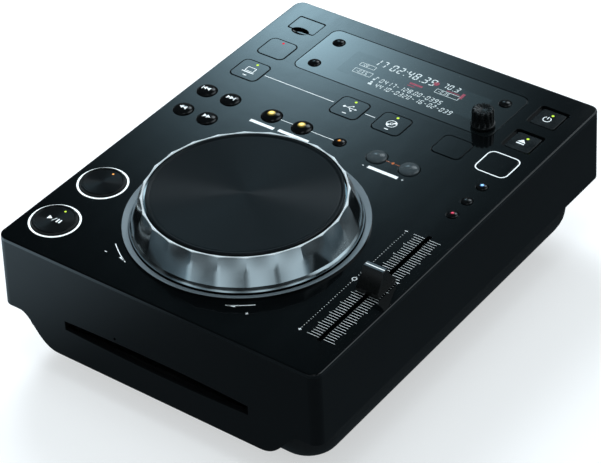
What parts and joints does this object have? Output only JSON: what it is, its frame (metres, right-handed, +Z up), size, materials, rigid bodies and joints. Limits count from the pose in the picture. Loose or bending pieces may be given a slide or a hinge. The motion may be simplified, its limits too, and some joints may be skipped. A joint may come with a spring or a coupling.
{
  "type": "tabletop disc player",
  "caption": "Low tabletop disc player for a DJ with a large scalloped jog dial, a front disc slot, a long tempo slider, a display and sprung buttons.",
  "frame": {"origin": "the middle of the object's footprint, on the ground under the feet", "axes": "+Z up, +X to the user's right, +Y to the back; the user faces the disc slot"},
  "size_m": [0.2206, 0.2974, 0.1075],
  "materials": {
    "panel_gloss": "glossy black moulded plastic with fine bright edges",
    "case_satin": "semi-gloss black moulded plastic",
    "tub_black": "black moulded plastic, low sheen",
    "foot_rubber": "black moulded rubber",
    "window_gloss": "smoked clear sheet over a dot display",
    "module_black": "black display housing",
    "circuit_board": "green glass-fibre board with black parts",
    "bright_chrome": "bright plated metal",
    "spun_black": "black anodised plate with fine turned rings",
    "turned_steel": "turned steel",
    "bearing_brass": "turned brass",
    "button_black": "black moulded plastic",
    "button_grey": "grey moulded plastic",
    "key_black": "glossy black moulded plastic",
    "knob_black": "black ribbed plastic",
    "fader_black": "black moulded plastic with a white line",
    "sheet_steel": "pressed plated steel",
    "roller_rubber": "black rubber on a steel axle",
    "drive_black": "black moulded plastic",
    "socket_plating": "plated brass barrel in a black body"
  },
  "bodies": {
    "player": {"upper_case": "case_satin", "control_panel": "panel_gloss", "bottom_tub": "tub_black", "foot_front_left": "foot_rubber", "foot_front_right": "foot_rubber", "foot_rear_left": "foot_rubber", "foot_rear_right": "foot_rubber", "display_window": "window_gloss", "display_module": "module_black", "switch_board": "circuit_board", "main_board": "circuit_board", "power_board": "circuit_board", "dial_bezel": "bright_chrome", "dial_bearing": "bearing_brass", "fader_body": "module_black", "usb_stick_socket": "sheet_steel", "usb_computer_socket": "sheet_steel", "audio_jack_left": "socket_plating", "audio_jack_right": "socket_plating", "mains_inlet": "drive_black", "drive_frame": "sheet_steel", "sled_rod_left": "turned_steel", "sled_rod_right": "turned_steel"},
    "jog_dial": {"jog_skirt": "bright_chrome", "jog_plate": "spun_black", "jog_shaft": "turned_steel", "encoder_wheel": "turned_steel"},
    "tempo_slider": {"fader_carriage": "drive_black", "fader_cap": "fader_black"},
    "selector_stem": {"selector_shaft": "turned_steel"},
    "selector_grip": {"selector_knob": "knob_black"},
    "stick_cover": {"usb_cover": "key_black"},
    "disc_turntable": {"disc_hub": "drive_black"},
    "disc_roller": {"feed_roller": "roller_rubber"},
    "laser_sled": {"pickup_sled": "drive_black"},
    "play_button_body": {"play_button": "button_black"},
    "cue_button_body": {"cue_button": "button_black"},
    "track_back_button_body": {"track_back_button": "button_black"},
    "track_next_button_body": {"track_next_button": "button_black"},
    "search_back_button_body": {"search_back_button": "button_black"},
    "search_next_button_body": {"search_next_button": "button_black"},
    "loop_in_button_body": {"loop_in_button": "button_black"},
    "loop_out_button_body": {"loop_out_button": "button_black"},
    "loop_exit_button_body": {"loop_exit_button": "button_black"},
    "beat_less_button_body": {"beat_less_button": "button_grey"},
    "beat_more_button_body": {"beat_more_button": "button_grey"},
    "jog_mode_button_body": {"jog_mode_button": "button_black"},
    "tempo_range_button_body": {"tempo_range_button": "button_black"},
    "key_lock_button_body": {"key_lock_button": "button_black"},
    "menu_button_body": {"menu_button": "button_black"},
    "time_mode_button_body": {"time_mode_button": "button_black"},
    "back_button_body": {"back_button": "button_black"},
    "stop_key_body": {"stop_key": "key_black"},
    "computer_key_body": {"computer_key": "key_black"},
    "stick_key_body": {"stick_key": "key_black"},
    "disc_key_body": {"disc_key": "key_black"},
    "list_key_body": {"list_key": "key_black"},
    "lock_key_body": {"lock_key": "key_black"},
    "power_key_body": {"power_key": "key_black"},
    "eject_key_body": {"eject_key": "key_black"}
  },
  "joints": [
    {"name": "dial_turn", "type": "hinge", "parent": "player", "child": "jog_dial", "pos_m": [0, -0.06055, 0.096], "axis": [0, 0, 1], "continuous": true},
    {"name": "tempo_slide", "type": "slide", "parent": "player", "child": "tempo_slider", "axis": [0, 1, 0], "range_m": [-0.05, 0.05]},
    {"name": "cover_hinge", "type": "hinge", "parent": "player", "child": "stick_cover", "pos_m": [-0.088, 0.1247, 0.08625], "axis": [-1, 0, 0], "range_deg": [0, 95]},
    {"name": "selector_push", "type": "slide", "parent": "player", "child": "selector_stem", "axis": [0, 0, -1], "range_m": [0, 0.0007], "stiffness_N_per_m": 800, "springref_m": -0.0004},
    {"name": "selector_turn", "type": "hinge", "parent": "selector_stem", "child": "selector_grip", "pos_m": [0.0608, 0.08745, 0.094], "axis": [0, 0, 1], "continuous": true},
    {"name": "sled_slide", "type": "slide", "parent": "player", "child": "laser_sled", "axis": [0, 1, 0], "range_m": [0, 0.034]},
    {"name": "turntable_spin", "type": "hinge", "parent": "player", "child": "disc_turntable", "pos_m": [0, -0.07155, 0.036], "axis": [0, 0, 1], "continuous": true},
    {"name": "roller_spin", "type": "hinge", "parent": "player", "child": "disc_roller", "pos_m": [0, -0.13105, 0.036], "axis": [1, 0, 0], "continuous": true},
    {"name": "play_press", "type": "slide", "parent": "player", "child": "play_button_body", "axis": [0, 0, -1], "range_m": [0, 0.0005], "stiffness_N_per_m": 800, "springref_m": -0.0004},
    {"name": "cue_press", "type": "slide", "parent": "player", "child": "cue_button_body", "axis": [0, 0, -1], "range_m": [0, 0.0005], "stiffness_N_per_m": 800, "springref_m": -0.0004},
    {"name": "track_back_press", "type": "slide", "parent": "player", "child": "track_back_button_body", "axis": [0, 0, -1], "range_m": [0, 0.0005], "stiffness_N_per_m": 800, "springref_m": -0.0004},
    {"name": "track_next_press", "type": "slide", "parent": "player", "child": "track_next_button_body", "axis": [0, 0, -1], "range_m": [0, 0.0005], "stiffness_N_per_m": 800, "springref_m": -0.0004},
    {"name": "search_back_press", "type": "slide", "parent": "player", "child": "search_back_button_body", "axis": [0, 0, -1], "range_m": [0, 0.0005], "stiffness_N_per_m": 800, "springref_m": -0.0004},
    {"name": "search_next_press", "type": "slide", "parent": "player", "child": "search_next_button_body", "axis": [0, 0, -1], "range_m": [0, 0.0005], "stiffness_N_per_m": 800, "springref_m": -0.0004},
    {"name": "loop_in_press", "type": "slide", "parent": "player", "child": "loop_in_button_body", "axis": [0, 0, -1], "range_m": [0, 0.0005], "stiffness_N_per_m": 800, "springref_m": -0.0004},
    {"name": "loop_out_press", "type": "slide", "parent": "player", "child": "loop_out_button_body", "axis": [0, 0, -1], "range_m": [0, 0.0005], "stiffness_N_per_m": 800, "springref_m": -0.0004},
    {"name": "loop_exit_press", "type": "slide", "parent": "player", "child": "loop_exit_button_body", "axis": [0, 0, -1], "range_m": [0, 0.0005], "stiffness_N_per_m": 800, "springref_m": -0.0004},
    {"name": "beat_less_press", "type": "slide", "parent": "player", "child": "beat_less_button_body", "axis": [0, 0, -1], "range_m": [0, 0.0005], "stiffness_N_per_m": 800, "springref_m": -0.0004},
    {"name": "beat_more_press", "type": "slide", "parent": "player", "child": "beat_more_button_body", "axis": [0, 0, -1], "range_m": [0, 0.0005], "stiffness_N_per_m": 800, "springref_m": -0.0004},
    {"name": "jog_mode_press", "type": "slide", "parent": "player", "child": "jog_mode_button_body", "axis": [0, 0, -1], "range_m": [0, 0.0005], "stiffness_N_per_m": 800, "springref_m": -0.0004},
    {"name": "tempo_range_press", "type": "slide", "parent": "player", "child": "tempo_range_button_body", "axis": [0, 0, -1], "range_m": [0, 0.0005], "stiffness_N_per_m": 800, "springref_m": -0.0004},
    {"name": "key_lock_press", "type": "slide", "parent": "player", "child": "key_lock_button_body", "axis": [0, 0, -1], "range_m": [0, 0.0005], "stiffness_N_per_m": 800, "springref_m": -0.0004},
    {"name": "menu_press", "type": "slide", "parent": "player", "child": "menu_button_body", "axis": [0, 0, -1], "range_m": [0, 0.0005], "stiffness_N_per_m": 800, "springref_m": -0.0004},
    {"name": "time_mode_press", "type": "slide", "parent": "player", "child": "time_mode_button_body", "axis": [0, 0, -1], "range_m": [0, 0.0005], "stiffness_N_per_m": 800, "springref_m": -0.0004},
    {"name": "back_press", "type": "slide", "parent": "player", "child": "back_button_body", "axis": [0, 0, -1], "range_m": [0, 0.0005], "stiffness_N_per_m": 800, "springref_m": -0.0004},
    {"name": "stop_press", "type": "slide", "parent": "player", "child": "stop_key_body", "axis": [0, 0, -1], "range_m": [0, 0.0005], "stiffness_N_per_m": 800, "springref_m": -0.0004},
    {"name": "computer_press", "type": "slide", "parent": "player", "child": "computer_key_body", "axis": [0, 0, -1], "range_m": [0, 0.0005], "stiffness_N_per_m": 800, "springref_m": -0.0004},
    {"name": "stick_press", "type": "slide", "parent": "player", "child": "stick_key_body", "axis": [0, 0, -1], "range_m": [0, 0.0005], "stiffness_N_per_m": 800, "springref_m": -0.0004},
    {"name": "disc_press", "type": "slide", "parent": "player", "child": "disc_key_body", "axis": [0, 0, -1], "range_m": [0, 0.0005], "stiffness_N_per_m": 800, "springref_m": -0.0004},
    {"name": "list_press", "type": "slide", "parent": "player", "child": "list_key_body", "axis": [0, 0, -1], "range_m": [0, 0.0005], "stiffness_N_per_m": 800, "springref_m": -0.0004},
    {"name": "lock_press", "type": "slide", "parent": "player", "child": "lock_key_body", "axis": [0, 0, -1], "range_m": [0, 0.0005], "stiffness_N_per_m": 800, "springref_m": -0.0004},
    {"name": "power_press", "type": "slide", "parent": "player", "child": "power_key_body", "axis": [0, 0, -1], "range_m": [0, 0.0005], "stiffness_N_per_m": 800, "springref_m": -0.0004},
    {"name": "eject_press", "type": "slide", "parent": "player", "child": "eject_key_body", "axis": [0, 0, -1], "range_m": [0, 0.0005], "stiffness_N_per_m": 800, "springref_m": -0.0004}
  ]
}
